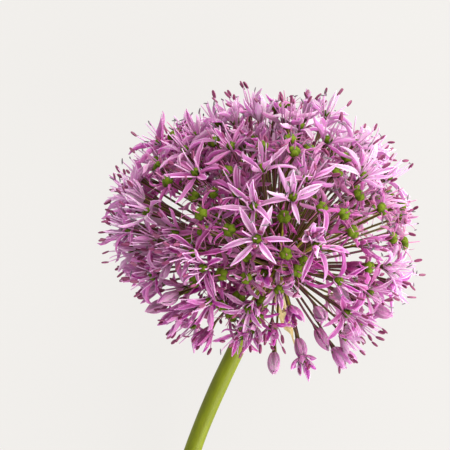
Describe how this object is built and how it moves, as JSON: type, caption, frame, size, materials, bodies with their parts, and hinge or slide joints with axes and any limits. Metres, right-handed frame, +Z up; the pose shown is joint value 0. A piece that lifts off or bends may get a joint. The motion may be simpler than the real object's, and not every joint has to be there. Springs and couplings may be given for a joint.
{
  "type": "giant allium flower head",
  "caption": "Round lilac flower head of a giant ornamental onion: star florets, buds and pods on thin pedicels, on a short cut green scape, lying on its side.",
  "frame": {"origin": "the point on the surface straight below the receptacle, where one withered floret is pressed flat", "axes": "+Z up from the surface, +Y from the cut end of the scape towards the head, +X to the right seen from above with the head ahead"},
  "size_m": [0.1136, 0.1783, 0.102],
  "materials": {
    "scape_green": "smooth fresh stalk with a faint waxy bloom, olive to yellow-green, finely striped along its length",
    "tepal_lilac": "thin matt petals, lilac-pink with a darker stripe along the middle and paler edges",
    "spathe_paper": "dry papery sheath, cream to tan with fine ribs and a few brown spots",
    "pedicel_brown": "thin smooth stalks, olive green at the root and dark purplish brown near the floret",
    "ovary_green": "fine-grained three-lobed green pods, lighter on the crowns and dark in the seams",
    "filament_pale": "thin tapered threads, pale lilac with a deeper foot",
    "anther_magenta": "matt magenta to greyish purple pollen sacs"
  },
  "bodies": {
    "root": {"scape": "scape_green", "umbel": "tepal_lilac", "spathe_bract_1": "spathe_paper", "spathe_bract_2": "spathe_paper", "spathe_bract_3": "spathe_paper"}
  },
  "joints": []
}
